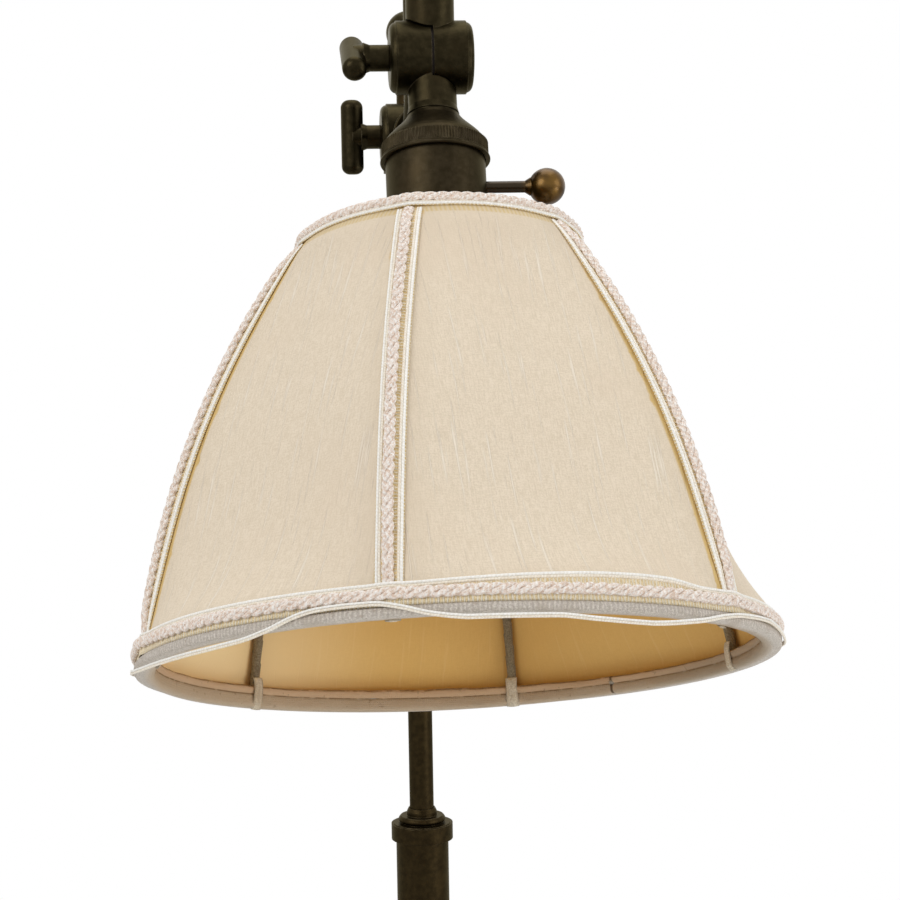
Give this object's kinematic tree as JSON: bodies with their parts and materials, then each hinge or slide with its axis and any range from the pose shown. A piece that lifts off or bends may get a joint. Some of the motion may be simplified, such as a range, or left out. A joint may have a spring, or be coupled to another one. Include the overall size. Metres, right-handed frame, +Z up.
{
  "type": "student lamp",
  "caption": "Desk lamp with a round weighted base, a column and rod, a clamp that slides on the rod, a gooseneck arm between friction knuckles, and a fabric bell shade on a turn-key socket.",
  "frame": {"origin": "centre of the flat rest face under the base, on the axis of the upright rod", "axes": "+Z up along the column and rod, -Y forward, the way the arm points, +X to the right of a viewer in front of the lamp"},
  "size_m": [0.2024, 0.3665, 0.5346],
  "materials": {
    "bronze": "dark bronze patina over brass, satin",
    "key_brass": "browned brass, polished by use",
    "brass": "plain turned brass",
    "steel": "zinc-plated steel",
    "iron": "rough casting",
    "felt": "dark green felt",
    "black_plastic": "moulded black resin",
    "washer_fibre": "dark friction washer",
    "sleeve_plastic": "smooth ivory nylon",
    "card": "waxed insulating card",
    "wire": "drawn brass wire, soldered",
    "tape": "wound cotton binding tape",
    "lining": "amber taffeta",
    "cover": "cream slub silk",
    "braid": "cotton gimp braid with white edge cords",
    "cord": "white cotton cord",
    "bulb_metal": "rolled aluminium",
    "bulb_glass": "frosted glass",
    "stem_glass": "clear glass stem"
  },
  "bodies": {
    "stand": {"base_felt": "felt", "base_weight": "iron", "base_shell": "bronze", "cord_bushing": "black_plastic", "base_nipple": "brass", "base_washer": "steel", "base_nut": "brass", "column_foot": "bronze", "column_tube": "bronze", "column_cap": "bronze", "upright_rod": "bronze", "rod_washer": "steel", "rod_nut": "brass", "ball_finial": "bronze"},
    "sleeve": {"clamp_sleeve": "sleeve_plastic"},
    "clamp": {"rod_clamp": "bronze"},
    "collar_screw": {"collar_thumb_screw": "bronze"},
    "arm": {"rear_washer": "washer_fibre", "rear_knuckle": "bronze", "rear_ferrule": "bronze", "arm_tube": "bronze", "front_ferrule": "bronze", "front_knuckle": "bronze", "front_washer": "washer_fibre"},
    "rear_screw": {"rear_thumb_screw": "bronze"},
    "front_screw": {"front_thumb_screw": "bronze"},
    "head": {"head_knuckle": "bronze", "neck_ring": "bronze", "neck_nipple": "brass", "nipple_nut": "brass", "socket_cap": "bronze", "socket_shell": "bronze", "socket_sleeve": "card", "socket_body": "black_plastic", "screw_shell": "brass", "centre_contact": "brass", "terminal_screws": "brass", "ring_nut": "brass", "shade_frame": "wire", "rib_tape": "tape", "top_tape": "tape", "bottom_tape": "tape", "shade_lining": "lining", "shade_cover": "cover", "rib_braids": "braid", "top_braid": "braid", "bottom_braid": "braid", "loose_cord": "cord", "bulb_base": "bulb_metal", "bulb_glass": "bulb_glass", "bulb_filament": "stem_glass"},
    "key": {"switch_key": "key_brass"}
  },
  "joints": [
    {"name": "clamp_height", "type": "slide", "parent": "stand", "child": "sleeve", "axis": [0, 0, 1], "range_m": [-0.2, 0.019]},
    {"name": "clamp_swivel", "type": "hinge", "parent": "sleeve", "child": "clamp", "pos_m": [0, 0, 0.4605], "axis": [0, 0, 1], "continuous": true},
    {"name": "collar_screw_turn", "type": "hinge", "parent": "clamp", "child": "collar_screw", "pos_m": [0, 0.02, 0.4605], "axis": [0, 1, 0], "range_deg": [-270, 90]},
    {"name": "arm_tilt", "type": "hinge", "parent": "clamp", "child": "arm", "pos_m": [0, -0.0245, 0.4605], "axis": [-1, 0, 0], "range_deg": [-15, 35]},
    {"name": "rear_screw_turn", "type": "hinge", "parent": "arm", "child": "rear_screw", "pos_m": [0, -0.0245, 0.4605], "axis": [1, 0, 0], "range_deg": [-270, 90]},
    {"name": "front_screw_turn", "type": "hinge", "parent": "arm", "child": "front_screw", "pos_m": [0, -0.107, 0.4815], "axis": [1, 0, 0], "range_deg": [-270, 90]},
    {"name": "head_tilt", "type": "hinge", "parent": "arm", "child": "head", "pos_m": [0, -0.107, 0.4815], "axis": [1, 0, 0], "range_deg": [-70, 16]},
    {"name": "key_turn", "type": "hinge", "parent": "head", "child": "key", "pos_m": [0, -0.12223, 0.43778], "axis": [1, 0, 0], "continuous": true}
  ]
}
